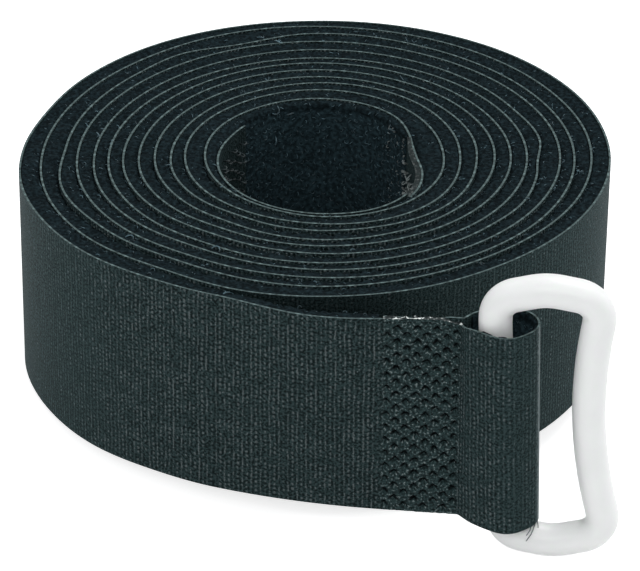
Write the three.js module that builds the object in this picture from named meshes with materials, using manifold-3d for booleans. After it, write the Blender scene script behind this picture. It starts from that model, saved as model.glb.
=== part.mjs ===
// A 25 mm cinch strap of hook and loop tape, rolled up and standing on its edge.
// Millimetres, +Z up. The strap is modelled flat on the plane of the roll and then leaned a
// few degrees, because the plastic ring at its outer end reaches below the edge of the tape.

import * as THREE from "three";
import { mergeVertices } from "three/addons/utils/BufferGeometryUtils.js";
import Module from "manifold-3d";

const wasm = await Module();
wasm.setup();

// Driving dimensions of the tapes
const tape = {
  width: 25,
  ground: 0.4,
  pile: 0.75,
  pileSeat: 0.28,
  pileMargin: 0.8,
  pileEndGap: 0.4,
};
const hook = {
  length: 50,
  lap: 12,
  ground: 0.4,
  lapGap: 0.3,
  height: 0.75,
  seat: 0.28,
  sideMargin: 1.2,
  endMargin: 1.5,
};

// The winding: angles run inward along the strip, clockwise from the front seen from above
const winding = {
  slack: 0.47,
  coreRadius: 13.15,
  ovality: 0.65,
  leaveAngle: 18,
  loopEndAngle: 4265,
  stepsPerTurn: 24,
};
const pitch = tape.ground + tape.pileSeat + tape.pile + winding.slack;

// Where the turns bulge or are dented, with the push outward as a share of the pitch
const dentShares = [
  { angle: 62, spread: 35, push: 0.6 },
  { angle: 165, spread: 45, push: 0.08 },
  { angle: 215, spread: 60, push: 0.53 },
  { angle: 258, spread: 40, push: 0.25 },
  { angle: 540, spread: 60, push: 0.17 },
  { angle: 881, spread: 18, push: -0.1 },
  { angle: 1702, spread: 20, push: 0.1 },
  { angle: 1725, spread: 22, push: -0.08 },
  { angle: 4222, spread: 52, push: -0.85 },
  { angle: 4340, spread: 85, push: 0.45 },
];

// The free outer end: it leaves the roll on a slack bend, then runs straight through the weld
const tail = { bendRadius: 75, bendSteps: 6, heading: -6 };
const weld = { length: 9, fusedPile: 0.3 };

// The knurl of the weld: staggered four-sided pits pressed into the outer face
const pit = {
  columnPitch: 1.1,
  rowPitch: 1.7,
  radius: 0.46,
  floorRadius: 0.14,
  depth: 0.28,
  sides: 4,
  endMargin: 0.6,
  sideMargin: 0.9,
  overshoot: 0.1,
};

// The fold that holds the ring, seen from above as shares of its length and depth
const fold = { length: 8.7, depth: 6.2, steps: 30 };
const foldShares = [
  [0.07, -0.14],
  [0.27, -0.37],
  [0.48, -0.53],
  [0.67, -0.55],
  [0.84, -0.46],
  [0.97, -0.24],
  [1.0, 0.04],
  [0.93, 0.29],
  [0.75, 0.46],
  [0.44, 0.46],
  [0.17, 0.31],
];

// The ring: a straight bar, two arched arms and an outer bar that is pinched at mid-height
const ring = {
  barRod: 3.7,
  armRod: 3.75,
  armSpacing: 31,
  reach: 11.4,
  pinch: 1.4,
  armArch: 0.5,
  bendRadius: 2.9,
  barPlace: 4.1,
  barOffset: -0.2,
  lean: 3.3,
  edgeGap: 0.45,
  sides: 12,
};
const ringSteps = { bend: 6, arm: 3, outer: 8 };

// How the strap stands: the far edge of the tape is flattened where it bears on the table
const flatDepth = 0.5;
const overrun = 5;
const standShare = 12;
const standSteps = 40;

const radians = THREE.MathUtils.degToRad;
const fullTurn = 360;
const aimStep = 1;

// Plan points

function dentAt(angle) {
  let push = 0;
  for (const dent of dentShares) {
    const off = Math.abs(angle - dent.angle) / dent.spread;
    if (off < 1) push += dent.push * pitch * 0.5 * (1 + Math.cos(Math.PI * off));
  }
  return push;
}

function windingRadius(angle) {
  const turnsOut = (winding.loopEndAngle - angle) / fullTurn;
  const oval = winding.ovality * Math.cos(2 * radians(angle));
  return winding.coreRadius + pitch * turnsOut + oval + dentAt(angle);
}

function windingPoint(angle) {
  const radius = windingRadius(angle);
  const turn = radians(angle);
  return new THREE.Vector2(-radius * Math.sin(turn), -radius * Math.cos(turn));
}

// The angle that lies a length further in along the strip, or further out if it is negative
function angleInward(angle, length) {
  return angle + THREE.MathUtils.radToDeg(length / windingRadius(angle));
}

// The hook tape lies inside the loop tape's line, on its own ground beyond the lap
const hookInward = tape.ground / 2 + hook.lapGap + hook.ground / 2;
const lapStartAngle = angleInward(winding.loopEndAngle, -hook.lap);
const pileEndAngle = angleInward(lapStartAngle, -tape.pileEndGap);
const tipRadius = winding.coreRadius - hookInward;
const tipTurn = (hook.length - hook.lap) / tipRadius;
const tipAngle = winding.loopEndAngle + THREE.MathUtils.radToDeg(tipTurn);
const fieldStartAngle = angleInward(lapStartAngle, hook.endMargin);
const fieldEndAngle = angleInward(tipAngle, -hook.endMargin);

// Every angle at which the strip has a point: even steps, and where a tape begins or ends
function markedAngles() {
  const marks = [tipAngle, fieldEndAngle, winding.loopEndAngle, fieldStartAngle, lapStartAngle,
    pileEndAngle, winding.leaveAngle];
  const step = fullTurn / winding.stepsPerTurn;
  const angles = [...marks];
  for (let angle = step * Math.floor(tipAngle / step); angle > winding.leaveAngle; angle -= step) {
    const nearest = Math.min(...marks.map((mark) => Math.abs(mark - angle)));
    if (nearest > step / 3) angles.push(angle);
  }
  return angles.sort((a, b) => b - a);
}
const stripAngles = markedAngles();

// Points of the strip from an inner angle out to an outer one
function windingPoints(innerAngle, outerAngle) {
  return stripAngles.filter((angle) => angle <= innerAngle && angle >= outerAngle).map(windingPoint);
}

// A pen that walks over the plan and leaves points behind
class Pen {
  constructor(points, heading) {
    this.points = points;
    this.at = points[points.length - 1].clone();
    this.heading = heading;
  }

  straight(length) {
    const way = new THREE.Vector2(Math.cos(this.heading), Math.sin(this.heading));
    this.at = this.at.clone().addScaledVector(way, length);
    this.points.push(this.at);
  }

  bend(toHeading, radius, steps) {
    const part = (toHeading - this.heading) / steps;
    const chord = 2 * radius * Math.sin(Math.abs(part) / 2);
    for (let i = 0; i < steps; i += 1) {
      this.heading += part / 2;
      this.straight(chord);
      this.heading += part / 2;
    }
  }
}

// Places a point of the folded end: along runs on from the weld, across is towards the roll
function foldPoint(end, heading, along, across) {
  const way = new THREE.Vector2(Math.cos(heading), Math.sin(heading));
  const side = new THREE.Vector2(-way.y, way.x);
  return end.clone().addScaledVector(way, along).addScaledVector(side, across);
}

// The middle line of the loop tape from its inner end to the tip of the welded return
function loopTapePath() {
  const points = windingPoints(winding.loopEndAngle, winding.leaveAngle);
  const leave = windingPoint(winding.leaveAngle);
  const before = windingPoint(winding.leaveAngle + aimStep);
  const leaveHeading = Math.atan2(leave.y - before.y, leave.x - before.x);
  const pen = new Pen(points, leaveHeading);
  pen.bend(radians(tail.heading), tail.bendRadius, tail.bendSteps);
  const weldStart = points.length - 1;
  pen.straight(weld.length);
  const weldEnd = points.length - 1;

  const end = pen.at;
  const lift = tape.ground + weld.fusedPile;
  const shape = foldShares.map(([along, across]) =>
    foldPoint(end, pen.heading, along * fold.length, across * fold.depth));
  const turnBack = foldPoint(end, pen.heading, 0, lift);
  const curve = new THREE.SplineCurve([end, ...shape, turnBack]);
  points.push(...curve.getSpacedPoints(fold.steps).slice(1));
  const foldEnd = points.length - 1;
  points.push(foldPoint(end, pen.heading, -weld.length, lift));
  return { points, weldStart, weldEnd, foldEnd, end, heading: pen.heading };
}

// Moves a line sideways by a distance to its left, with mitred corners
function offsetLine(points, distance) {
  return points.map((point, i) => {
    const back = points[Math.max(i - 1, 0)];
    const ahead = points[Math.min(i + 1, points.length - 1)];
    const arriving = (i > 0 ? point.clone().sub(back) : ahead.clone().sub(point)).normalize();
    const leaving = (i < points.length - 1 ? ahead.clone().sub(point) : arriving.clone()).normalize();
    const side = new THREE.Vector2(-(arriving.y + leaving.y), arriving.x + leaving.x).normalize();
    const square = side.x * -arriving.y + side.y * arriving.x;
    return point.clone().addScaledVector(side, distance / square);
  });
}

// Boolean helpers

function toSolid(geometry) {
  return new wasm.Manifold(new wasm.Mesh({
    numProp: 3,
    vertProperties: new Float32Array(geometry.getAttribute("position").array),
    triVerts: new Uint32Array(geometry.getIndex().array),
  }));
}

function toGeometry(solid) {
  const mesh = solid.getMesh();
  const geometry = new THREE.BufferGeometry();
  geometry.setAttribute("position", new THREE.BufferAttribute(mesh.vertProperties, 3));
  geometry.setIndex(new THREE.BufferAttribute(mesh.triVerts, 1));
  return geometry;
}

// Solids

function welded(geometry) {
  const bare = geometry.clone();
  bare.deleteAttribute("normal");
  bare.deleteAttribute("uv");
  return mergeVertices(bare);
}

// A flat band that stands on edge: a plan outline raised from one height to another
function standingBand(outline, holes, low, high) {
  const shape = new THREE.Shape(outline);
  shape.holes = holes.map((hole) => new THREE.Path(hole));
  const geometry = new THREE.ExtrudeGeometry(shape, { depth: high - low, bevelEnabled: false });
  geometry.translate(0, 0, low);
  return welded(geometry);
}

function bandOutline(path, nearOffset, farOffset) {
  return [...offsetLine(path, nearOffset), ...offsetLine(path, farOffset).reverse()];
}

function loopTapeGeometry(path) {
  const half = tape.ground / 2;
  const outer = offsetLine(path.points, -half);
  const inner = offsetLine(path.points, half);
  const outline = [...outer, ...inner.slice(0, path.weldStart + 1).reverse()];
  const eye = inner.slice(path.weldEnd, path.foldEnd + 1);
  const web = standingBand(outline, [eye], 0, tape.width);
  return toGeometry(toSolid(web).subtract(weldPits(path)));
}

// One solid of all the pits, to be taken out of the outer face between the weld's two ends
function weldPits(path) {
  const wallSlope = (pit.radius - pit.floorRadius) / pit.depth;
  const mouthRadius = pit.radius + wallSlope * pit.overshoot;
  const height = pit.depth + pit.overshoot;
  const columns = Math.floor((weld.length - 2 * pit.endMargin) / pit.columnPitch) + 1;
  const firstAlong = -(weld.length + (columns - 1) * pit.columnPitch) / 2;
  const across = -tape.ground / 2 + pit.depth - height / 2;
  const cutters = [];
  for (let i = 0; i < columns; i += 1) {
    const at = foldPoint(path.end, path.heading, firstAlong + i * pit.columnPitch, across);
    const low = pit.sideMargin + (i % 2) * pit.rowPitch / 2;
    for (let z = low; z <= tape.width - pit.sideMargin; z += pit.rowPitch) {
      const cutter = new THREE.CylinderGeometry(mouthRadius, pit.floorRadius, height, pit.sides);
      cutter.rotateZ(path.heading + Math.PI);
      cutter.translate(at.x, at.y, z);
      cutters.push(toSolid(welded(cutter)));
    }
  }
  return wasm.Manifold.union(cutters);
}

// The pile runs from the hook tape's lap out to the tip of the welded return
function loopPileGeometry(path) {
  const covered = windingPoints(winding.loopEndAngle, pileEndAngle).length - 1;
  const line = path.points.slice(covered, path.weldStart);
  line.push(foldPoint(path.end, path.heading, -weld.length - tape.pileEndGap, 0));
  const near = tape.ground / 2 + tape.pileSeat;
  const outline = bandOutline(line, near, near + tape.pile);
  return standingBand(outline, [], tape.pileMargin, tape.width - tape.pileMargin);
}

function hookTapeGeometry() {
  const line = windingPoints(tipAngle, lapStartAngle);
  const near = tape.ground / 2 + hook.lapGap;
  return standingBand(bandOutline(line, near, near + hook.ground), [], 0, tape.width);
}

function hookFieldGeometry() {
  const line = windingPoints(fieldEndAngle, fieldStartAngle);
  const near = hookInward + hook.ground / 2 + hook.seat;
  const outline = bandOutline(line, near, near + hook.height);
  return standingBand(outline, [], hook.sideMargin, tape.width - hook.sideMargin);
}

// The middle line of the ring in its own plane, bar on the Y axis, with the rod's width
function ringLine() {
  const half = ring.armSpacing / 2;
  const bend = ring.bendRadius;
  const line = [];
  const add = (x, y, rod) => line.push({ x, y, rod });
  const corner = (cx, cy, from, rodFrom, rodTo) => {
    for (let i = 0; i <= ringSteps.bend; i += 1) {
      const share = i / ringSteps.bend;
      const turn = from + share * Math.PI / 2;
      const rod = THREE.MathUtils.lerp(rodFrom, rodTo, share);
      add(cx + bend * Math.cos(turn), cy + bend * Math.sin(turn), rod);
    }
  };
  const arm = (side) => {
    for (let i = 1; i < ringSteps.arm; i += 1) {
      const share = i / ringSteps.arm;
      const x = side < 0 ? THREE.MathUtils.lerp(bend, ring.reach - bend, share)
        : THREE.MathUtils.lerp(ring.reach - bend, bend, share);
      add(x, side * (half + ring.armArch * Math.sin(Math.PI * share)), ring.armRod);
    }
  };
  corner(bend, -half + bend, Math.PI, ring.barRod, ring.armRod);
  arm(-1);
  corner(ring.reach - bend, -half + bend, -Math.PI / 2, ring.armRod, ring.barRod);
  for (let i = 1; i < ringSteps.outer; i += 1) {
    const share = i / ringSteps.outer;
    const y = THREE.MathUtils.lerp(-half + bend, half - bend, share);
    const place = 2 * share - 1;
    add(ring.reach - ring.pinch * (1 - place * place), y, ring.barRod);
  }
  corner(ring.reach - bend, half - bend, 0, ring.barRod, ring.armRod);
  arm(1);
  corner(bend, half - bend, Math.PI / 2, ring.armRod, ring.barRod);
  return line;
}

// A closed rod round a flat line: the ring lies in its XZ plane, with Y across it
function ringGeometry() {
  const line = ringLine();
  const positions = [];
  const index = [];
  line.forEach((point, i) => {
    const before = line[(i + line.length - 1) % line.length];
    const after = line[(i + 1) % line.length];
    const way = new THREE.Vector2(after.x - before.x, after.y - before.y).normalize();
    for (let j = 0; j < ring.sides; j += 1) {
      const turn = 2 * Math.PI * j / ring.sides;
      const out = point.rod / 2 * Math.cos(turn);
      const across = point.rod / 2 * Math.sin(turn);
      positions.push(point.x + way.y * out, across, point.y - way.x * out);
    }
  });
  for (let i = 0; i < line.length; i += 1) {
    const nextRing = (i + 1) % line.length;
    for (let j = 0; j < ring.sides; j += 1) {
      const nextSide = (j + 1) % ring.sides;
      const a = i * ring.sides + j;
      const b = nextRing * ring.sides + j;
      const c = nextRing * ring.sides + nextSide;
      const d = i * ring.sides + nextSide;
      index.push(a, d, c, a, c, b);
    }
  }
  const geometry = new THREE.BufferGeometry();
  geometry.setAttribute("position", new THREE.Float32BufferAttribute(positions, 3));
  geometry.setIndex(index);
  return geometry;
}

// Assembly

const path = loopTapePath();

function material(color, roughness) {
  return new THREE.MeshStandardMaterial({ color, roughness, metalness: 0 });
}

const webBlack = material(0x2c3232, 0.85);
const pileBlack = material(0x151a1c, 0.95);
const hookBlack = material(0x1d2022, 0.5);
const ringWhite = material(0xeeefec, 0.4);

function mesh(name, geometry, finish) {
  const result = new THREE.Mesh(geometry, finish);
  result.name = name;
  return result;
}

const strap = new THREE.Group();
strap.add(mesh("loop_tape", loopTapeGeometry(path), webBlack));
strap.add(mesh("loop_pile", loopPileGeometry(path), pileBlack));
strap.add(mesh("hook_tape", hookTapeGeometry(), webBlack));
strap.add(mesh("hook_field", hookFieldGeometry(), hookBlack));

// The ring hangs on the folded end, its lower arm just under the edge of the tape
const ringMesh = mesh("ring", ringGeometry(), ringWhite);
const hinge = foldPoint(path.end, path.heading, ring.barPlace, ring.barOffset);
const ringFrame = new THREE.Group();
ringFrame.position.set(hinge.x, hinge.y, (ring.armSpacing - ring.armRod) / 2 - ring.edgeGap);
ringFrame.rotation.set(0, -radians(ring.lean), path.heading, "ZYX");
ringFrame.add(ringMesh);
strap.add(ringFrame);

// Standing: the strap leans away from the ring until the ring's foot and the flattened far edge
// both bear on the table
function lowestPoint(object, root) {
  root.updateMatrixWorld(true);
  const at = new THREE.Vector3();
  const position = object.geometry.getAttribute("position");
  let lowest = Infinity;
  for (let i = 0; i < position.count; i += 1) {
    at.fromBufferAttribute(position, i).applyMatrix4(object.matrixWorld);
    lowest = Math.min(lowest, at.z);
  }
  return lowest;
}

const leanAxis = new THREE.Vector3(-hinge.y, hinge.x, 0).normalize();
const loopTape = strap.getObjectByName("loop_tape");
const standing = { low: 0, high: Math.PI / standShare, steps: standSteps };
for (let i = 0; i < standing.steps; i += 1) {
  const lean = (standing.low + standing.high) / 2;
  strap.quaternion.setFromAxisAngle(leanAxis, -lean);
  const footAbove = lowestPoint(ringMesh, strap) - lowestPoint(loopTape, strap);
  if (footAbove < flatDepth) standing.low = lean;
  else standing.high = lean;
}

const group = new THREE.Group();
group.add(strap);
strap.position.z = -lowestPoint(ringMesh, group);

// The table takes the edge off the tape where it bears
function flattenBelow(object, root) {
  root.updateMatrixWorld(true);
  const reach = 2 * (windingRadius(winding.leaveAngle) + weld.length + fold.length + ring.reach);
  const depth = overrun + flatDepth;
  const table = new THREE.BoxGeometry(reach, reach, depth);
  table.translate(0, 0, -depth / 2);
  table.applyMatrix4(object.matrixWorld.clone().invert());
  const cut = toSolid(object.geometry).subtract(toSolid(welded(table)));
  object.geometry = toGeometry(cut);
}
flattenBelow(loopTape, group);

// The origin is on the table, under the middle of the whole strap
group.updateMatrixWorld(true);
const box = new THREE.Box3().setFromObject(group, true);
const middle = box.getCenter(new THREE.Vector3());
strap.position.x -= middle.x;
strap.position.y -= middle.y;

// The least gap between turns, measured on the points of the middle line
function leastGap(points, thickness, apart) {
  let least = Infinity;
  for (let i = 0; i < points.length - 1; i += 1) {
    for (let j = i + apart; j < points.length; j += 1) {
      least = Math.min(least, points[i].distanceTo(points[j]));
    }
  }
  return least - thickness;
}

const wound = windingPoints(winding.loopEndAngle, winding.leaveAngle);
const halfTurnSteps = winding.stepsPerTurn / 2;
console.log(`least gap of the web to itself ${leastGap(wound, tape.ground, halfTurnSteps).toFixed(3)} mm`);
console.log(`least gap of the pile to itself ${leastGap(wound, tape.pile, halfTurnSteps).toFixed(3)} mm`);

export default group;
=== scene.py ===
"""A 25 mm cinch strap of hook and loop tape, wound into a roll that stands on its edge.

The strap is shaped in the plane of the roll, in millimetres, with its inner end in the bore and its
outer end folded round a plastic ring. It is then leaned the few degrees that the ring lifts it.
"""

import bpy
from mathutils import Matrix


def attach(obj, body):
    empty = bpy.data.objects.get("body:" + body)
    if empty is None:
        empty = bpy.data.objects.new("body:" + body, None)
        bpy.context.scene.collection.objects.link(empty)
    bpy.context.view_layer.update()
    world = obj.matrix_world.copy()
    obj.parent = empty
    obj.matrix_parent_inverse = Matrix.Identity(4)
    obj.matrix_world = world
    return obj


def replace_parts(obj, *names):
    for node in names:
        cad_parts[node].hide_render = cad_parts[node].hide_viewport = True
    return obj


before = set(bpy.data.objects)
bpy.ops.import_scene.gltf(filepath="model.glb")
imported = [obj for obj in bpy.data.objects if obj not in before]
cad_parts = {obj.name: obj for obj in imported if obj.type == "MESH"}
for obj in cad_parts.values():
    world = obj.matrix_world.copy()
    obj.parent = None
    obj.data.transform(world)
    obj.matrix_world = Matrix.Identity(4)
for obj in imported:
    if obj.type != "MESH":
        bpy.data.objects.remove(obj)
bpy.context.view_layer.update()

import math

import bmesh
import bpy
import numpy as np
from bpy.props import FloatProperty, FloatVectorProperty, IntProperty, PointerProperty
from mathutils import Matrix, Quaternion, Vector

bl_info = {
    "name": "Cinch strap roll",
    "version": (1, 0, 0),
    "blender": (4, 5, 0),
    "location": "3D View > Sidebar > Strap",
    "description": "Builds a wound hook and loop strap with a plastic ring",
    "category": "Object",
}

STRAP_BODY, RING_BODY = "wound_strap", "pull_ring"
MM = 0.001
FULL_TURN = 360.0

# The tapes, in millimetres, with the angle of the hook tape's free end
TAPE_WIDTH = 25.0
WEB_THICK = 0.24
WEB_OUTWARD = 0.08
WEB_ROWS = 9
PILE_HEIGHT = 2.9
BORE_PILE = 1.0
PILE_MARGIN = 0.2
HOOK_INWARD = 0.6
HOOK_LAP = 15.0
HOOK_TIP_ANGLE = 4446.0
LAP_THICK = 0.4
LEAST_GAP = 0.05

# Tones that more than one material or piece shares, and those of single spots
# Painted glints on the crushed hooks and the fused loops of the lap
GLINT_TONE = (0.18, 0.21, 0.21)
# Pale tones of the woven face's beads, partly their own and partly painted glints
LIT_YARN, GLINT_YARN = (0.05, 0.074, 0.077), (0.17, 0.205, 0.21)
# The palest tone of the weld's crust, a painted glint
CRUST_GLINT = (0.2, 0.24, 0.24)
# Tones of the melted beads on the cut edge at the welds, the palest a painted glint
BEAD_AND_GLINT_TONES = (0.02, 0.026, 0.027), (0.1, 0.115, 0.115), (0.85, 0.9, 0.88)
# Painted shade in the weld's pits and under the free end, which also darkens the hook tape's web
SHADE_AND_DARKENING_TONE = (0.001, 0.0015, 0.002, 1)
SOOT_TONE = (0.006, 0.009, 0.0095, 1)
CUT_END_TONE = (0.008, 0.01, 0.011, 1)

# Radius of the web round the outermost turn, with its angle
OUTER_RADII = (
    (0, 36.3),
    (18, 36.2),
    (30, 36.05),
    (45, 36.4),
    (62, 36.1),
    (75, 35.7),
    (90, 34.85),
    (105, 34.15),
    (123, 34.4),
    (146, 35.0),
    (172, 35.55),
    (195, 35.98),
    (214, 35.76),
    (238, 34.9),
    (258, 34.25),
    (275, 34.0),
    (299, 33.7),
    (324, 33.75),
    (342, 34.35),
)
# Radius of the web at the front, left, back and right of each turn inside it
TURN_RADII = (
    (34.6, 32.4, 34.2, 32.0),
    (32.1, 30.0, 32.1, 29.8),
    (30.2, 28.5, 30.1, 28.1),
    (28.25, 26.5, 27.6, 25.7),
    (26.7, 24.8, 25.4, 24.2),
    (24.6, 23.1, 23.75, 22.3),
    (22.8, 21.25, 22.0, 20.4),
    (21.25, 19.6, 20.2, 18.3),
    (19.2, 17.5, 18.4, 16.3),
)
# The same for the two innermost turns, where the stiff weld and the hook tape push the strip about
CORE_RADII = (
    (3600, 17.75),
    (3645, 16.8),
    (3690, 15.8),
    (3735, 15.6),
    (3780, 16.2),
    (3870, 14.45),
    (3900, 15.2),
    (3930, 16.0),
    (3960, 16.1),
    (3990, 15.1),
    (4050, 13.45),
    (4095, 13.4),
    (4140, 13.8),
    (4185, 12.7),
    (4205, 11.5),
    (4222, 10.95),
    (4237, 11.35),
    (4257, 13.3),
    (4272, 14.8),
    (4290, 15.9),
    (4320, 15.95),
    (4350, 14.95),
    (4380, 13.65),
    (4410, 12.45),
    (4430, 11.85),
    (4450, 11.75),
    (4470, 11.75),
)
# How far every turn stands off its quarter radii, by angle round the roll
ROUNDNESS = (
    (0, 0.1),
    (15, -0.15),
    (30, -0.45),
    (48, 0.0),
    (75, 0.18),
    (90, -0.1),
    (105, -0.45),
    (125, -0.78),
    (150, -0.75),
    (180, -0.42),
    (210, -0.47),
    (240, -0.3),
    (260, 0.0),
    (300, 0.14),
    (345, 0.14),
)
# Short kinks: the angle, how far each side it reaches, and the push outward
KINKS = (
    (392, 22, -0.3),
    (425, 50, 0.45),
    (522, 30, 0.4),
    (655, 45, -0.4),
    (686, 42, -0.78),
    (778, 34, 0.55),
    (792, 20, 0.6),
    (865, 14, 0.35),
    (881, 16, -0.9),
    (905, 22, 0.3),
    (1128, 45, 0.33),
    (1500, 30, 0.25),
    (1700, 18, 0.45),
    (1713, 12, -0.3),
    (1738, 16, 0.3),
    (2940, 60, -0.35),
    (3193, 42, 0.75),
    (3450, 60, 0.5),
    (3560, 55, 0.85),
)
# Over how many degrees the second turn takes it on
ROUNDNESS_FADE = 30
# Where the loop tape ends in the bore, and where the strip comes away from the roll
LOOP_END_ANGLE = 4276.0
LEAVE_ANGLE = 18.0
# Degrees between the points of the winding
ANGLE_STEP = 0.5

# The welded end: where the weld stops, the way it points, and the fold beyond it
WELD_END = Vector((15.883, -39.477))
END_HEADING = math.radians(-6.0)
WELD_LENGTH = 9.0
RETURN_LIFT, RETURN_DROP = 0.5, 0.4
TUCK = 0.15
FOLD_LENGTH, FOLD_DEPTH = 8.5, 6.2
FOLD_SHARES = (
    (0.116, -0.21),
    (0.244, -0.34),
    (0.37, -0.44),
    (0.5, -0.52),
    (0.62, -0.54),
    (0.74, -0.48),
    (0.88, -0.31),
    (0.965, -0.15),
    (0.998, 0.03),
    (0.96, 0.26),
    (0.83, 0.45),
    (0.59, 0.5),
    (0.37, 0.45),
    (0.18, 0.3),
)
FOLD_TILT = 0.8

# The loose yarns at the fold's lower edge, by run from the bend, depth and height, and their
# radius in metres
LOOSE_YARNS = (
    ((-1.1, -0.15, 0.3), (-1.6, -0.3, -0.3), (-2.2, -0.45, -0.8), (-2.9, -0.5, -1.3)),
    ((-1.8, -0.15, 0.2), (-2.2, -0.3, -0.35), (-2.7, -0.3, -0.75)),
    ((-0.6, -0.15, 0.2), (-0.8, -0.35, -0.3), (-0.9, -0.4, -0.6)),
)
LOOSE_RADIUS = 0.00005

# The knurl of the weld: staggered pits in columns up the tape
PIT_COLUMNS, PIT_COLUMN, PIT_START = 8, 1.1, 0.65
PIT_ROW, PIT_FOOT, PIT_MARGIN = 1.7, 0.9, 0.4
PIT_RADIUS, PIT_JITTER = 0.4, 0.4
WELD_FADE = 0.5
FILLING_RECESS = 0.16

# The pile's section: share of its full thickness, and distance in from its edge
PILE_SECTION = (
    (0.0, 0.0),
    (0.66, 0.0),
    (0.9, 0.18),
    (0.98, 0.5),
    (1.0, 1.1),
    (1.0, 2.0),
    (1.0, 3.0),
    (1.0, 4.2),
    (1.0, 5.6),
    (1.0, 7.2),
    (1.0, 9.0),
)
# The share of its thickness that the pile keeps at the lap, and how thick it is in the fold
LAP_CRUSH = 0.35
LINING = 0.35
# How far the pile ends from the lap and the weld, and from both ends of the fold
PILE_CLEAR, LINING_CLEAR = 0.4, 1.2
MAT_COLUMN, LINING_COLUMNS = 0.3, 90
# Where the pile's two stretches meet, and where the turns end that can be seen in the bore
PILE_SPLIT_ANGLE, BORE_ANGLE = 1900.0, 4060.0
# Shares of the single loops in the bore and in the fold, and how many are fused at the lap
BORE_SHARE, LINING_SHARE = 0.16, 0.05
FUSED_LOOPS = 110
# How a hook curls: the radius of its crook, and the turns at which it is drawn
CROOK = 0.24
CROOK_TURNS = 45, 90, 140, 190, 230

# How the ring sits: its bar beyond the weld and off the tape's middle line, its height and its lean
BAR_BEYOND, BAR_ASIDE = 4.1, 0.2
RING_HEIGHT = 13.175
RING_LEAN = math.radians(-3.3)
CORNER_BEND, ARM_ARCH = 2.9, 0.5
CORNER_STEPS, ARM_STEPS, INNER_STEPS, OUTER_STEPS = 12, 12, 20, 40
RING_SIDES, RING_SMOOTHING = 28, 3

# The slack in the tape's upper edge before the weld: how far out it leans, where, over what length
TAIL_FLARE = 1.35
FLARE_PLACE, FLARE_BEFORE, FLARE_AFTER = -7.5, 12.0, 15.0
EDGE_SAG = 0.6
# The waves in the wound tape's edges: how high, how long, and where they start
WAVES = ((0.07, 23.0, 0.0), (0.06, 9.7, 1.0))
WAVE_FADE = 20

# How the roll stands: the lean that the ring gives it, and where the roll's middle comes to be
LEAN = math.radians(3.3218)
LEAN_AXIS = Vector((-0.895433, -0.445197, 0.0))
ROLL_MIDDLE = Vector((0.654, 3.155, 1.554))
STAND = Matrix.Translation(ROLL_MIDDLE) @ Quaternion(LEAN_AXIS, LEAN).to_matrix().to_4x4()

# The photograph's camera, seen from the roll's middle
CAMERA_DISTANCE = 450.0
CAMERA_ELEVATION = math.radians(29.49)
CAMERA_ROLL = math.radians(0.67)
CAMERA_TARGET = Vector((0.157, 0.0, 6.809))
SENSOR = 36.0
CAMERA_LENS = 210.35

# The lamps, by name: place and width in metres, and power in watts
LAMPS = (
    ("left", (-0.75, -0.25, 0.5), 0.4, 0.6),
    ("right", (0.78, 0.25, 0.4), 0.45, 0.95),
    ("top", (0.3, 0.3, 0.9), 0.5, 4.0),
    ("front", (-0.1, -0.8, 0.7), 0.5, 2.4),
)
SKY_TONE, SKY_STRENGTH = (0.95, 0.98, 1.0, 1), 0.5
FLOOR_GLOW = 0.72


# The line that the strip follows in plan


def smooth_through(knots, values, at):
    """A smooth curve through the values at the knots, read at the given places."""
    slopes = np.gradient(values, knots)
    i = np.clip(np.searchsorted(knots, at) - 1, 0, len(knots) - 2)
    span = knots[i + 1] - knots[i]
    t = (at - knots[i]) / span
    rise = values[i + 1] - values[i]
    eased = t * t * (3 - 2 * t)
    near = slopes[i] * span * t * (1 - t) ** 2
    far = slopes[i + 1] * span * t * t * (1 - t)
    return values[i] + rise * eased + near - far


def winding_radius(angles):
    """Radius of the web's middle at angles that run inward along the strip."""
    quarter = FULL_TURN / 4
    rough = [(FULL_TURN + i * quarter, r) for i, r in enumerate(np.ravel(TURN_RADII))]
    knots, values = np.array([*OUTER_RADII, *rough, *CORE_RADII], float).T
    radius = smooth_through(knots, values, angles)
    first, last = FULL_TURN, CORE_RADII[0][0]
    held = np.clip((angles - first) / ROUNDNESS_FADE, 0, 1)
    held = held * np.clip((last - angles) / quarter, 0, 1)
    places, pushes = np.array([*ROUNDNESS, (FULL_TURN, ROUNDNESS[0][1])], float).T
    radius = radius + held * smooth_through(places, pushes, np.mod(angles, FULL_TURN))
    for middle, reach, push in KINKS:
        off = np.clip(np.abs(angles - middle) / reach, 0, 1)
        radius = radius + push * 0.5 * (1 + np.cos(np.pi * off))
    return radius


def plan_points(angles):
    """Points of the wound web's middle in plan."""
    turn = np.radians(angles)
    radius = winding_radius(angles)
    return np.stack([-radius * np.sin(turn), -radius * np.cos(turn)], 1)


def ease(share):
    """A share from 0 to 1 that starts and stops softly."""
    share = np.clip(share, 0, 1)
    return share * share * (3 - 2 * share)


def hermite(start, leaving, end, arriving, steps):
    """Points from start to end, leaving and arriving along the two given vectors."""
    t = np.linspace(0, 1, steps)[1:, None]
    return (
        start * (2 * t**3 - 3 * t**2 + 1)
        + leaving * (t**3 - 2 * t**2 + t)
        + end * (3 * t**2 - 2 * t**3)
        + arriving * (t**3 - t**2)
    )


def through_points(points, steps):
    """An even spline through a list of plan points."""
    padded = [points[0], *points, points[-1]]
    parts = []
    for a, b, c, d in zip(padded, padded[1:], padded[2:], padded[3:]):
        parts.append(hermite(b, (c - a) / 2, c, (d - b) / 2, steps))
    return np.concatenate(parts)


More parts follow.
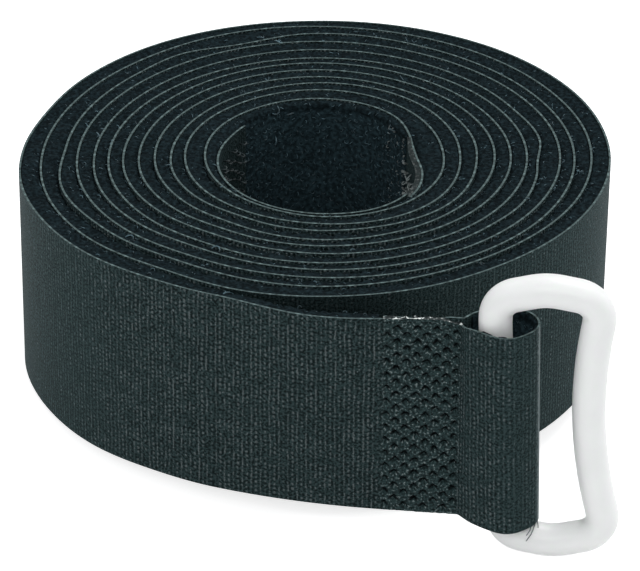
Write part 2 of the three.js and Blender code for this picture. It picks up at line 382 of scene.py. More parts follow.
class StripLine:
    """The middle line of the web in plan. Its length counts from the inner end of the loop tape."""

    STEP = 0.1
    STRAIGHT_STEPS, FOLD_STEPS = 60, 30
    BLUR_POINTS = 9

    def __init__(self):
        way = np.array([math.cos(END_HEADING), math.sin(END_HEADING)])
        side = np.array([-way[1], way[0]])
        end = np.array(WELD_END)
        self.way, self.side = way, side
        angles = np.arange(float(CORE_RADII[-1][0]), LEAVE_ANGLE - ANGLE_STEP / 2, -ANGLE_STEP)
        wound = plan_points(angles)
        weld_start = end - way * WELD_LENGTH
        reach = np.linalg.norm(weld_start - wound[-1])
        leaving = wound[-1] - wound[-2]
        leaving *= reach / np.linalg.norm(leaving)
        tail = hermite(wound[-1], leaving, weld_start, way * reach, self.STRAIGHT_STEPS)
        straight = way * np.linspace(0, WELD_LENGTH, self.STRAIGHT_STEPS)[1:, None]
        weld = weld_start + straight
        turned = end + side * RETURN_LIFT
        eye = [end + way * a * FOLD_LENGTH + side * b * FOLD_DEPTH for a, b in FOLD_SHARES]
        fold = through_points([end, *eye, turned], self.FOLD_STEPS)
        back = turned - straight
        rough = np.concatenate([wound, tail, weld, fold, back])
        run = np.concatenate([[0], np.cumsum(np.linalg.norm(np.diff(rough, axis=0), axis=1))])
        marks = np.cumsum([len(wound), len(tail), len(weld), len(fold), len(back)]) - 1
        inner_end = float(np.interp(-LOOP_END_ANGLE, -angles, run[: len(angles)]))
        self.angle_run = run[: len(angles)] - inner_end
        self.angles = angles
        self.leave, self.weld_start, self.weld_end, self.fold_end, self.end = run[marks] - inner_end
        self.run = np.arange(0, run[-1], self.STEP) - inner_end
        even = [np.interp(self.run + inner_end, run, rough[:, k]) for k in (0, 1)]
        blur = np.exp(-np.linspace(-2, 2, self.BLUR_POINTS) ** 2)
        blur /= blur.sum()
        even = [np.pad(e, self.BLUR_POINTS // 2, "edge") for e in even]
        self.xy = np.stack([np.convolve(e, blur, "valid") for e in even], 1)
        slope = np.gradient(self.xy, axis=0)
        slope /= np.linalg.norm(slope, axis=1)[:, None]
        self.inward = np.stack([-slope[:, 1], slope[:, 0]], 1)
        in_fold = (self.run > self.weld_end) * (self.run < self.fold_end)
        self.bend = self.run[np.argmax(self.xy @ way * in_fold)]

    def at_angle(self, angle):
        """The length along the strip at an angle round the roll."""
        return float(np.interp(-angle, -self.angles, self.angle_run))

    def angle_at(self, run):
        """The angle round the roll at a length along the strip."""
        return np.interp(run, self.angle_run, self.angles)

    def flare(self, run):
        """How far the tape's upper edge leans out of the roll along the free end."""
        off = run - (self.weld_start + FLARE_PLACE)
        off = np.where(off < 0, off / FLARE_BEFORE, off / FLARE_AFTER)
        return TAIL_FLARE * 0.5 * (1 + np.cos(np.pi * np.clip(np.abs(off), 0, 1)))

    def tilt(self, run):
        """How far the fold's upper edge is drawn back along the tape by the leaning ring."""
        return FOLD_TILT * ease((run - self.weld_end + 1) / 3) * ease((self.fold_end - run) / 2)

    def sag(self, run):
        """How far the upper edge sinks where the fold opens out of the weld."""
        return EDGE_SAG * np.exp(-(((run - self.weld_end) / 1.6) ** 2))

    def place(self, run, depth, height):
        """Points on the standing roll, in metres, from lengths along the strip, depths, heights."""
        xy = np.stack([np.interp(run, self.run, self.xy[:, k]) for k in (0, 1)], 1)
        inward = np.stack([np.interp(run, self.run, self.inward[:, k]) for k in (0, 1)], 1)
        inward /= np.linalg.norm(inward, axis=1)[:, None]
        share = height / TAPE_WIDTH
        xy = xy + inward * np.reshape(depth, (-1, 1))
        xy = xy - np.outer(self.flare(run) * share, self.side)
        xy = xy + np.outer(self.tilt(run) * (0.5 - share), self.way)
        wander = sum(high * np.sin(run / length + start) for high, length, start in WAVES)
        settled = np.clip((self.weld_start - run) / WAVE_FADE, 0, 1)
        flat = np.column_stack([xy, height + wander * settled - self.sag(run) * share**6])
        stand = np.array(STAND)
        world = flat @ stand[:3, :3].T + stand[:3, 3]
        world[:, 2] = np.maximum(world[:, 2], 0)
        return world * MM

    def spaces(self, angles):
        """Clear space between the web's inner face at these angles and what lies next inside it."""
        inside = angles + FULL_TURN
        known = inside < HOOK_TIP_ANGLE
        inner = winding_radius(np.minimum(inside, self.angles[0]))
        inner = np.where(inside > LOOP_END_ANGLE, inner - HOOK_INWARD, inner)
        gap = winding_radius(angles) - inner - WEB_THICK - LEAST_GAP
        return np.where(known, gap, BORE_PILE)


line = StripLine()

# Factors that scatter the bits of a cell's place
HASH = 374761393, 668265263, 974634777, 1274126177


def value_noise(u, v, cell, seed):
    """Smooth random values from 0 to 1 on a grid of cells, the same on every run."""
    x, y = u / cell, v / cell
    xi, yi = np.floor(x).astype(np.int64), np.floor(y).astype(np.int64)
    fx, fy = x - xi, y - yi
    fx, fy = fx * fx * (3 - 2 * fx), fy * fy * (3 - 2 * fy)

    def corner(dx, dy):
        mixed = (xi + dx) * HASH[0] + (yi + dy) * HASH[1] + seed * HASH[2]
        mixed = (mixed ^ (mixed >> 13)) * HASH[3]
        return ((mixed ^ (mixed >> 16)) & 0xFFFF) / 65535.0

    low = corner(0, 0) * (1 - fx) + corner(1, 0) * fx
    high = corner(0, 1) * (1 - fx) + corner(1, 1) * fx
    return low * (1 - fy) + high * fy


# Meshes


def vertex_array(mesh):
    """The places of the mesh's vertices."""
    co = np.empty(len(mesh.vertices) * 3)
    mesh.vertices.foreach_get("co", co)
    return co.reshape(-1, 3)


def set_vertices(mesh, co):
    """Moves the mesh's vertices to new places."""
    mesh.vertices.foreach_set("co", np.asarray(co, np.float32).ravel())
    mesh.update()


def finished(bm, name):
    """A new mesh from a bmesh, which it frees."""
    mesh = bpy.data.meshes.new(name)
    bm.to_mesh(mesh)
    bm.free()
    return mesh


def set_look(mesh, key, values):
    """Writes a share at each vertex for the materials: how melted it is, how much painted shade and
    darkening it has, how far its painted glints fade and how much highlight is painted on it.
    """
    layer = mesh.attributes.new(key, "FLOAT", "POINT")
    layer.data.foreach_set("value", np.asarray(values, np.float32))


def set_strip_map(mesh, run, height):
    """The UV map that the weave follows: metres along the strip and metres up it."""
    corner = np.empty(len(mesh.loops), np.int32)
    mesh.loops.foreach_get("vertex_index", corner)
    layer = mesh.uv_layers.new(name="strip")
    uv = np.column_stack([run[corner], height[corner]]) * MM
    layer.data.foreach_set("uv", uv.astype(np.float32).ravel())


def grid_mesh(name, along, up):
    """A flat grid with a column at each length along and a row at each step up."""
    bm = bmesh.new()
    columns, rows = len(along) - 1, len(up) - 1
    bmesh.ops.create_grid(bm, x_segments=columns, y_segments=rows, size=1.0)
    for edge in bm.edges:
        edge.smooth = not edge.is_boundary
    mesh = finished(bm, name)
    co = vertex_array(mesh)
    column = np.rint((co[:, 0] + 1) / 2 * columns).astype(int)
    row = np.rint((co[:, 1] + 1) / 2 * rows).astype(int)
    return mesh, np.asarray(along)[column], np.asarray(up)[row], row


def show(mesh, body, slot, *materials):
    """Makes the mesh a smooth object that rides on a body."""
    for material in materials:
        mesh.materials.append(material)
    mesh.shade_smooth()
    piece = bpy.data.objects.new(mesh.name, mesh)
    bpy.context.scene.collection.objects.link(piece)
    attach(piece, body)
    return piece


def thicken(piece, thickness):
    """Gives a strip its thickness, with its second material on its cut edges."""
    wall = piece.modifiers.new("thickness", "SOLIDIFY")
    wall.thickness = thickness * MM
    wall.offset = 0
    wall.material_offset_rim = 1


def sweep(stations, sides, closed=False):
    """A rod: a unit circle extruded from one placing matrix to the next."""
    bm = bmesh.new()
    bmesh.ops.create_circle(bm, segments=sides, radius=1.0, matrix=stations[0])
    edges = bm.edges[:]
    for before, after in zip(stations, stations[1:]):
        grown = bmesh.ops.extrude_edge_only(bm, edges=edges)["geom"]
        verts = {g for g in grown if isinstance(g, bmesh.types.BMVert)}
        edges = [g for g in grown if isinstance(g, bmesh.types.BMEdge)]
        edges = [edge for edge in edges if verts.issuperset(edge.verts)]
        bmesh.ops.transform(bm, matrix=after @ before.inverted(), verts=list(verts))
    if closed:
        bmesh.ops.remove_doubles(bm, verts=bm.verts, dist=1e-7)
    else:
        bmesh.ops.holes_fill(bm, edges=[e for e in bm.edges if e.is_boundary], sides=sides)
    bmesh.ops.recalc_face_normals(bm, faces=bm.faces)
    return bm


def rod_stations(points, radii, normal, closed=False):
    """Placing matrices for a rod along flat points, with the given normal to their plane."""
    stations = []
    count = len(points)
    for i, (point, radius) in enumerate(zip(points, radii)):
        before = points[i - 1] if closed or i else point
        after = points[(i + 1) % count] if closed or i < count - 1 else point
        way = (after - before).normalized()
        across = normal.cross(way).normalized()
        turn = Matrix((across, way.cross(across), way)).transposed().to_4x4()
        stations.append(Matrix.Translation(point) @ turn @ Matrix.Diagonal((radius,) * 3 + (1,)))
    return stations + stations[:1] if closed else stations


def scatter(name, pattern, matrices):
    """One mesh that holds the small pattern mesh at each placing matrix."""
    base = vertex_array(pattern)
    corners = np.empty(len(pattern.loops), np.int32)
    pattern.loops.foreach_get("vertex_index", corners)
    starts = np.empty(len(pattern.polygons), np.int32)
    pattern.polygons.foreach_get("loop_start", starts)
    many = np.asarray(matrices)
    count = len(many)
    co = np.einsum("nij,vj->nvi", many[:, :3, :3], base) + many[:, None, :3, 3]
    lift = np.arange(count)[:, None]
    mesh = bpy.data.meshes.new(name)
    mesh.vertices.add(co.shape[0] * co.shape[1])
    mesh.vertices.foreach_set("co", co.astype(np.float32).ravel())
    mesh.loops.add(count * len(corners))
    mesh.loops.foreach_set("vertex_index", (corners + lift * len(base)).astype(np.int32).ravel())
    mesh.polygons.add(count * len(starts))
    mesh.polygons.foreach_set("loop_start", (starts + lift * len(corners)).astype(np.int32).ravel())
    mesh.update(calc_edges=True)
    mesh.validate()
    return mesh


# Materials


class Finish:
    """A node material that is put together one node at a time."""

    def __init__(self, name):
        self.material = bpy.data.materials.new(name)
        self.material.use_nodes = True
        self.tree = self.material.node_tree
        self.shader = self.tree.nodes["Principled BSDF"]

    def add(self, kind, inputs=None, **settings):
        """A new node with its settings, and its inputs by name or number."""
        node = self.tree.nodes.new(kind)
        for key, value in settings.items():
            setattr(node, key, value)
        for key, value in (inputs or {}).items():
            self.put(node.inputs[key], value)
        return node

    def put(self, socket, value):
        """Links another node's output to a socket, or sets the socket's own value."""
        if isinstance(value, bpy.types.NodeSocket):
            self.tree.links.new(value, socket)
        else:
            socket.default_value = value

    def math(self, operation, *values):
        return self.add("ShaderNodeMath", dict(enumerate(values)), operation=operation).outputs[0]

    def times(self, first, second):
        return self.math("MULTIPLY", first, second)

    def scaled(self, value, factor, offset):
        return self.math("MULTIPLY_ADD", value, factor, offset)

    def number(self, factor, first, second):
        """A number between two others."""
        node = self.add("ShaderNodeMix", data_type="FLOAT")
        for socket, value in ((0, factor), (2, first), (3, second)):
            self.put(node.inputs[socket], value)
        return node.outputs[0]

    def ramp(self, factor, *stops):
        """Colours by factor, from (place, colour) stops."""
        node = self.add("ShaderNodeValToRGB", {0: factor})
        steps = node.color_ramp.elements
        while len(steps) < len(stops):
            steps.new(0.5)
        for step, (place, colour) in zip(steps, stops):
            step.position = place
            step.color = (*colour, 1)
        return node.outputs[0]

    def shades(self, factor, colour, *stops):
        """Darker and lighter tones of one colour by factor, from (place, share) stops."""
        return self.ramp(factor, *((place, shade(colour, share)) for place, share in stops))

    def blend(self, factor, first, second):
        """A colour between two others."""
        node = self.add("ShaderNodeMix", data_type="RGBA")
        self.put(node.inputs[0], factor)
        self.put(node.inputs[6], first)
        self.put(node.inputs[7], second)
        return node.outputs[2]

    def strip(self):
        """The point on the tape: metres along it and up it."""
        return self.add("ShaderNodeUVMap", uv_map="strip").outputs[0]

    def spot(self):
        """The point on the piece, in its own coordinates."""
        return self.add("ShaderNodeTexCoord").outputs["Object"]

    def look(self, key):
        """A share that is written at the mesh's vertices."""
        return self.add("ShaderNodeAttribute", attribute_name=key).outputs["Fac"]

    def cloud(self, vector, scale, detail=2.0):
        inputs = {"Vector": vector, "Scale": scale, "Detail": detail}
        return self.add("ShaderNodeTexNoise", inputs).outputs[0]

    def bump(self, height, distance, strength=1.0):
        inputs = {"Height": height, "Distance": distance, "Strength": strength}
        self.put(self.shader.inputs["Normal"], self.add("ShaderNodeBump", inputs).outputs[0])

    def surface(self, colour, roughness, **inputs):
        """Ends the material with its colour, its roughness and other inputs of the shader."""
        self.put(self.shader.inputs["Base Color"], colour)
        self.put(self.shader.inputs["Roughness"], roughness)
        for key, value in inputs.items():
            self.put(self.shader.inputs[key.replace("_", " ").title().replace("Ior", "IOR")], value)
        return self.material


def shade(colour, factor):
    """A colour made darker or lighter."""
    return tuple(c * factor for c in colour[:3])


def woven_material(sizes):
    """Ribs of yarn across the tape, melted flat and crumpled where it is welded.

    A row of beads and a thin line take turns, and every other row of beads is weaker.
    """
    f = Finish("woven_tape")
    strip = f.strip()
    place = f.add("ShaderNodeSeparateXYZ", {0: strip})

    # The rib and the bead at each point, and how they stand out
    sway = f.scaled(f.cloud(strip, 260.0, 3.0), 0.0005, place.outputs[0])
    ribs = f.math("DIVIDE", sway, sizes.rib_pitch)
    column = f.math("FLOOR", ribs)
    kind = f.math("FLOORED_MODULO", column, 4.0)
    uneven = f.add("ShaderNodeTexWhiteNoise", {"W": column}, noise_dimensions="1D").outputs[0]
    slip = f.scaled(f.cloud(strip, 420.0), 0.0006, place.outputs[1])
    beads = f.scaled(slip, 1 / sizes.bead_pitch, f.times(uneven, 7.0))
    cell = f.add("ShaderNodeCombineXYZ", {0: column, 1: f.math("FLOOR", beads)}).outputs[0]
    luck = f.add("ShaderNodeTexWhiteNoise", {"Vector": cell}, noise_dimensions="2D").outputs[0]
    grain = f.cloud(strip, 3600.0, 3.0)
    rib = f.math("SINE", f.times(f.math("FRACT", ribs), math.pi))
    bead = f.math("POWER", f.math("SINE", f.times(f.math("FRACT", beads), math.pi)), 2.0)
    beaded = f.times(bead, f.scaled(luck, 1.3, 0.15))
    lined = f.scaled(f.cloud(strip, 900.0, 3.0), 2.2, -0.7)
    lined = f.times(f.math("POWER", rib, 5.0), lined)
    weak = f.times(beaded, 0.6)
    strong = f.math("LESS_THAN", kind, 0.5)
    beaded = f.times(f.math("POWER", rib, 3.0), f.number(strong, weak, beaded))
    odd = f.math("FLOORED_MODULO", column, 2.0)
    fuzz = f.scaled(grain, 1.3, -0.6)
    weave = f.number(odd, beaded, lined)
    weave = f.times(weave, f.scaled(grain, 3.2, -0.3))
    weave = f.math("ADD", weave, fuzz)

    # The tone of the yarn, with bright specks as painted glints, plainer where its painted glints
    # fade, and paler along the fold's bend as a painted highlight
    drift = f.scaled(f.cloud(strip, 420.0, 4.0), 1.8, 0.12)
    # Bright specks painted on as glints
    glint_speck = f.math("GREATER_THAN", f.cloud(strip, 1300.0, 1.0), 0.76)
    tone = f.scaled(weave, drift, f.times(glint_speck, 0.6))
    glint_fade = f.look("glint_fade")
    plain = f.scaled(f.cloud(strip, 5200.0, 2.0), 1.1, -0.49)
    tone = f.number(glint_fade, tone, f.scaled(tone, 0.3, plain))
    rim_highlight = f.look("rim_highlight")
    rim_light_strength = f.scaled(f.cloud(strip, 2200.0, 3.0), 12.0, -3.0)
    tone = f.scaled(rim_highlight, rim_light_strength, tone)
    # From grooves to beads: the weave's own tones, deepened by painted shade in the grooves and
    # lifted by painted glints on the beads
    yarn = f.ramp(
        tone,
        (0.0, shade(sizes.yarn_colour, 0.22)),
        (0.12, shade(sizes.yarn_colour, 0.9)),
        (0.45, LIT_YARN),
        (0.9, GLINT_YARN),
    )

    # The crumpled crust of the weld, and the near black of the painted shade in its pits and under
    # the free end, which also darkens the hook tape's web
    melt = f.look("melt")
    shade_and_darkening = f.look("shade_and_darkening")
    crumple = f.cloud(strip, 3600.0, 4.0)
    # The palest tone of the crust is a painted glint
    crust = f.ramp(
        crumple,
        (0.36, shade(sizes.yarn_colour, 0.3)),
        (0.48, shade(sizes.yarn_colour, 0.72)),
        (0.58, shade(sizes.yarn_colour, 1.25)),
        (0.66, CRUST_GLINT),
    )
    height = f.times(weave, f.scaled(glint_fade, -0.75, 1.0))
    height = f.number(melt, height, f.times(crumple, 1.1))
    f.bump(height, 0.0003)
    return f.surface(
        f.blend(shade_and_darkening, f.blend(melt, yarn, crust), SHADE_AND_DARKENING_TONE),
        f.scaled(melt, -0.3, 0.65),
        specular_ior_level=0.04,
        sheen_weight=0.05,
        sheen_roughness=0.25,
        sheen_tint=(0.5, 0.8, 0.85, 1),
    )


def selvedge_material(sizes):
    """The heat-cut edge of the tape, paler than its face, partly in its own tone and partly with a
    painted highlight from above, and with melted beads at the welds whose palest tone is a painted
    glint.
    """
    f = Finish("selvedge")
    strip = f.strip()
    grain = f.cloud(strip, 1400.0, 4.0)
    # Paler than the face: partly the edge's own tone, partly a painted highlight of the light from
    # above
    cut = f.shades(grain, sizes.edge_and_highlight_colour, (0.36, 0.4), (0.5, 0.8), (0.64, 1.5))
    beads = f.cloud(f.spot(), 2200.0, 2.0)
    melted = f.ramp(beads, *zip((0.44, 0.56, 0.63), BEAD_AND_GLINT_TONES))
    melt = f.look("melt")
    up = f.add("ShaderNodeSeparateXYZ", {0: strip}).outputs[1]
    reach = f.math("ABSOLUTE", f.math("SUBTRACT", up, TAPE_WIDTH * MM / 2))
    side = f.math("GREATER_THAN", reach, TAPE_WIDTH * MM / 2 - MM)
    soot = f.look("soot")
    edge = f.blend(soot, f.blend(melt, cut, melted), SOOT_TONE)
    f.bump(grain, 0.0001)
    return f.surface(f.blend(side, CUT_END_TONE, edge), 0.5, specular_ior_level=0.06)


def pile_material(sizes):
    """The matted bed of the loop pile, nearly black between its yarns, with painted light on its
    face toward the roll's middle.
    """
    f = Finish("pile_mat")
    place = f.spot()
    grain = f.cloud(place, 2200.0, 3.0)
    bed = f.shades(grain, sizes.pile_colour, (0.4, 0.4), (0.75, 1.6))
    painted_lit_face = f.shades(grain, sizes.pile_colour, (0.4, 1.0), (0.75, 3.4))
    f.bump(grain, 0.0003)
    return f.surface(f.blend(f.look("face"), bed, painted_lit_face), 0.95, specular_ior_level=0.05)


def filament_material(name, colour, roughness):
    """Shiny single filaments, with a slow change of tone from one to the next."""
    f = Finish(name)
    tones = f.shades(f.cloud(f.spot(), 700.0), colour, (0.35, 0.5), (0.7, 1.8))
    return f.surface(tones, roughness)


def ring_material(sizes):
    """Smooth white moulded plastic that lets a little light in."""
    f = Finish("moulded_white")
    place = f.spot()
    colour = f.shades(f.cloud(place, 260.0, 3.0), sizes.colour, (0.3, 0.97), (0.7, 1.0))
    f.bump(f.cloud(place, 900.0, 2.0), 0.00002, 0.5)
    radius = (0.0012, 0.0014, 0.0012)
    return f.surface(
        colour, 0.38, subsurface_weight=0.35, subsurface_radius=radius, subsurface_scale=1.0
    )


def web_materials(sizes):
    """The weave and the cut edge of both tapes, made once."""
    known = bpy.data.materials
    if "woven_tape" not in known:
        return [woven_material(sizes), selvedge_material(sizes)]
    return [known["woven_tape"], known["selvedge"]]


# Sizes and colours


class WeaveSizes(bpy.types.PropertyGroup):
    rib_pitch: FloatProperty(
        name="Rib pitch",
        description="Distance from rib to rib along the tape",
        default=0.00053,
        unit="LENGTH",
    )
    bead_pitch: FloatProperty(
        name="Bead pitch",
        description="Distance from bead to bead up a rib",
        default=0.0006,
        unit="LENGTH",
    )
    yarn_colour: FloatVectorProperty(
        name="Yarn colour",
        description="Colour of the woven face",
        default=(0.0285, 0.052, 0.0535),
        subtype="COLOR",
    )
    # Partly the edge's own colour, partly a painted highlight
    edge_and_highlight_colour: FloatVectorProperty(
        name="Edge colour",
        description="Colour of the tape's cut edge",
        default=(0.105, 0.15, 0.15),
        subtype="COLOR",
    )
    pit_depth: FloatProperty(
        name="Pit depth",
        description="Depth of the weld's pits",
        default=0.00038,
        unit="LENGTH",
    )


class PileSizes(bpy.types.PropertyGroup):
    loops: IntProperty(
        name="Loops",
        description="Number of single loops that stand out of the pile",
        default=5200,
    )
    yarn: FloatProperty(
        name="Yarn radius",
        description="Radius of a loop's yarn",
        default=0.00004,
        unit="LENGTH",
    )
    pile_colour: FloatVectorProperty(
        name="Pile colour",
        description="Colour of the pile",
        default=(0.0105, 0.0195, 0.0235),
        subtype="COLOR",
    )


class HookSizes(bpy.types.PropertyGroup):
    pitch: FloatProperty(
        name="Hook pitch",
        description="Distance from hook to hook",
        default=0.00125,
        unit="LENGTH",
    )
    height: FloatProperty(
        name="Hook height",
        description="Height of a hook",
        default=0.00098,
        unit="LENGTH",
    )
    filament: FloatProperty(
        name="Filament radius",
        description="Radius of a hook's filament",
        default=0.00009,
        unit="LENGTH",
    )
    colour: FloatVectorProperty(
        name="Hook colour",
        description="Colour of the hooks",
        default=(0.03, 0.05, 0.056),
        subtype="COLOR",
    )


class RingSizes(bpy.types.PropertyGroup):
    bar_rod: FloatProperty(
        name="Bar rod",
        description="Thickness of the two bars",
        default=0.0037,
        unit="LENGTH",
    )
    arm_rod: FloatProperty(
        name="Arm rod",
        description="Thickness of the two arms",
        default=0.00375,
        unit="LENGTH",
    )
    spacing: FloatProperty(
        name="Arm spacing",
        description="Distance between the arms",
        default=0.031,
        unit="LENGTH",
    )
    reach: FloatProperty(
        name="Reach",
        description="Distance between the bars",
        default=0.0114,
        unit="LENGTH",
    )
    pinch: FloatProperty(
        name="Pinch",
        description="How far the outer bar is drawn in",
        default=0.0014,
        unit="LENGTH",
    )
    colour: FloatVectorProperty(
        name="Ring colour",
        description="Colour of the ring",
        default=(0.95, 0.95, 0.937),
        subtype="COLOR",
    )


class StageSizes(bpy.types.PropertyGroup):
    floor: FloatProperty(
        name="Floor size",
        description="Width of the floor",
        default=3.0,
        unit="LENGTH",
    )
    floor_colour: FloatVectorProperty(
        name="Floor colour",
        description="Colour of the floor",
        default=(0.82, 0.82, 0.82),
        subtype="COLOR",
    )


# Pieces


def build_web(name, along, materials, depth=None, thickness=WEB_THICK, **looks):
    """A length of woven tape. Its depth and its looks are functions of the length along it."""
    mesh, run, height, _ = grid_mesh(name, along, np.linspace(0, TAPE_WIDTH, WEB_ROWS))
    set_strip_map(mesh, run, height)
    deep = depth(run) if depth else np.full(len(run), -WEB_OUTWARD)
    set_vertices(mesh, line.place(run, deep, height))
    for key, look in looks.items():
        set_look(mesh, key, look(run))
    piece = show(mesh, STRAP_BODY, "woven_web", *materials)
    thicken(piece, thickness)
    return piece


class STRAP_OT_wound_web(bpy.types.Operator):
    """Builds the wound turns of the loop tape's woven web"""

    bl_idname = "strap.wound_web"
    bl_label = "Wound web"

    INNER_COLUMN, OUTER_COLUMN = 0.75, 0.6
    CALM_FROM, CALM_FADE = 30, 24
    SHADOW, SHADOW_FROM, SHADOW_FADE = 0.5, 335, 20

    @staticmethod
    def tucked(run):
        """Depth of the outer turn, whose end goes under the folded end."""
        return TUCK * (run > line.leave) - WEB_OUTWARD

    def glint_fade(self, run):
        """The weave's painted glints and relief fade away from the front of the roll, where light
        grazes its beads.
        """
        return ease((line.angle_at(run) - self.CALM_FROM) / self.CALM_FADE)

    def shadow(self, run):
        """Painted shadow that darkens the face under the free end."""
        return self.SHADOW * ease((line.angle_at(run) - self.SHADOW_FROM) / self.SHADOW_FADE)

    def execute(self, context):
        web = web_materials(context.scene.strap_weave)
        turn_start = line.at_angle(LEAVE_ANGLE + FULL_TURN)
        inner = np.linspace(0, turn_start, int(turn_start / self.INNER_COLUMN))
        columns = int((line.leave - turn_start) / self.OUTER_COLUMN)
        outer = np.linspace(turn_start, line.leave, columns)
        outer = np.append(outer, line.leave + TUCK)
        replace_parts(build_web("web_inner_turns", inner, web), "loop_tape")
        looks = {"glint_fade": self.glint_fade, "shade_and_darkening": self.shadow}
        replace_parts(build_web("web_outer_turn", outer, web, self.tucked, **looks), "loop_tape")
        return {"FINISHED"}


def weld_relief(run, height, depth):
    """How far the welded face is pressed in, how much of it is melted, and the painted shade in its
    pits.
    """
    along = run - line.weld_start
    inside = np.clip(along / WELD_FADE, 0, 1) * np.clip((WELD_LENGTH - along) / WELD_FADE, 0, 1)
    column = np.rint((along - PIT_START) / PIT_COLUMN)
    row = (height - PIT_FOOT) / PIT_ROW - 0.5 * (np.mod(column, 2) == 1)
    off_u = (along - PIT_START - column * PIT_COLUMN) / PIT_RADIUS
    off_v = (row - np.rint(row)) * PIT_ROW / PIT_RADIUS
    off_u = off_u + PIT_JITTER * (value_noise(run, height, 0.5, 5) - 0.5)
    off_v = off_v + PIT_JITTER * (value_noise(run, height, 0.5, 6) - 0.5)
    held = (column >= 0) & (column < PIT_COLUMNS)
    held = held & (height > PIT_MARGIN) & (height < TAPE_WIDTH - PIT_MARGIN)
    hole = held * ease(1.3 - np.hypot(off_u, off_v))
    # Painted shade on the upper side of each pit, whose wall faces down, away from the light above
    arched = (off_v - 0.3 + 0.4 * off_u**2) * 1.5
    dark = held * ease(2.0 - 1.4 * np.hypot(off_u * 0.75, arched))
    coarse = value_noise(run, height, 0.42, 1) - 0.5
    fine = value_noise(run, height, 0.2, 2) - 0.5
    crumple = 0.09 * coarse + 0.06 * fine
    return inside * (depth * hole + crumple), inside, inside * dark


def build_loose_yarns():
    """Yarns that have come out of the fold's lower edge."""
    gathered = bmesh.new()
    for points in LOOSE_YARNS:
        run, depth, height = np.array(points).T
        places = [Vector(p) for p in line.place(line.bend + run, depth, height)]
        normal = (places[1] - places[0]).cross(Vector((0, 1, 0))).normalized()
        yarn = sweep(rod_stations(places, [LOOSE_RADIUS] * len(places), normal), 6)
        part = finished(yarn, "yarn_part")
        gathered.from_mesh(part)
        bpy.data.meshes.remove(part)
    return finished(gathered, "loose_yarns")


class STRAP_OT_folded_end(bpy.types.Operator):
    """Builds the free end of the web: its tail, the knurled weld, the fold and the welded return"""

    bl_idname = "strap.folded_end"
    bl_label = "Folded end"

    TAIL_COLUMNS, WELD_COLUMNS, FOLD_COLUMNS, RETURN_COLUMNS = 34, 96, 80, 30
    ROWS = 240
    SEAM_STEPS = 60

    def execute(self, context):
        sizes = context.scene.strap_weave
        web = web_materials(sizes)
        self.build_fold(sizes, web)
        self.build_seam(web)
        yarn = filament_material("loose_yarn", shade(sizes.yarn_colour, 1.2), 0.6)
        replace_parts(show(build_loose_yarns(), STRAP_BODY, "woven_web", yarn), "loop_tape")
        return {"FINISHED"}

    def build_fold(self, sizes, web):
        """One web from where it leaves the roll, through the weld and the fold, to its cut end."""
        tail = np.linspace(line.leave, line.weld_start, self.TAIL_COLUMNS)[:-1]
        weld = np.linspace(line.weld_start, line.weld_end, self.WELD_COLUMNS)[:-1]
        fold = np.linspace(line.weld_end, line.fold_end, self.FOLD_COLUMNS)[:-1]
        back = np.linspace(line.fold_end, line.end, self.RETURN_COLUMNS)
        along = np.concatenate([tail, weld, fold, back])
        up = np.linspace(0, TAPE_WIDTH, self.ROWS)
        mesh, run, height, _ = grid_mesh("web_folded_end", along, up)
        set_strip_map(mesh, run, height)
        relief, melt, shade_and_darkening = weld_relief(run, height, sizes.pit_depth / MM)
        height = height - RETURN_DROP * ease((run - line.fold_end - 1.5) / 2) * height / TAPE_WIDTH
        set_vertices(mesh, line.place(run, relief - WEB_OUTWARD * (run < line.fold_end), height))
        past = run - line.weld_end
        set_look(mesh, "melt", melt)
        set_look(mesh, "shade_and_darkening", shade_and_darkening)
        # The weave's painted glints and relief fade along the fold, as it turns away from the light
        set_look(mesh, "glint_fade", 0.3 * ease(past / 2) + 0.6 * ease((past - 5) / 2.5))
        # A painted highlight along the fold's bend, where its edge catches the light
        set_look(mesh, "rim_highlight", np.exp(-(((run - line.bend + 0.2) / 0.38) ** 2)))
        piece = show(mesh, STRAP_BODY, "woven_web", *web)
        thicken(piece, WEB_THICK)
        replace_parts(piece, "loop_tape")

    def build_seam(self, web):
        """The melted yarn between the web and its return, with an uneven squeezed-out edge."""
        along = np.linspace(line.weld_start + 0.15, line.weld_end - 0.1, self.SEAM_STEPS)
        up = np.linspace(0.05, TAPE_WIDTH - 0.05, self.SEAM_STEPS)
        seam, run, height, row = grid_mesh("weld_seam", along, up)
        set_strip_map(seam, run, height)
        wobble = 0.12 * (value_noise(run, height, 0.5, 3) - 0.5)
        edge = (row == 0) | (row == row.max())
        height = height + np.where(edge, 0.35 * (value_noise(run, height, 0.35, 4) - 0.6), 0)
        from_edge = TAPE_WIDTH / 2 - 0.2 - np.abs(height - TAPE_WIDTH / 2)
        recess = FILLING_RECESS * ease(from_edge / 0.3)
        set_vertices(seam, line.place(run, RETURN_LIFT / 2 + wobble + recess, height))
        set_look(seam, "melt", np.ones(len(run)))
        piece = show(seam, STRAP_BODY, "woven_web", *web)
        thicken(piece, RETURN_LIFT - WEB_THICK)
        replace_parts(piece, "loop_tape")


def pile_rows():
    """Depth shares and heights once round the pile's section, from its top edge down its face."""
    low, high = PILE_MARGIN, TAPE_WIDTH - PILE_MARGIN
    down = [(share, high - drop) for share, drop in PILE_SECTION]
    up = [(share, low + drop) for share, drop in reversed(PILE_SECTION)]
    return np.array(down + up + down[:1])


def pile_space(run, full):
    """How thick the pile can be: no more than the space it has, and crushed flat by the lap."""
    crushed = LAP_CRUSH + (1 - LAP_CRUSH) * ease((run - HOOK_LAP) / 5)
    return np.minimum(full, line.spaces(line.angle_at(run))) * crushed


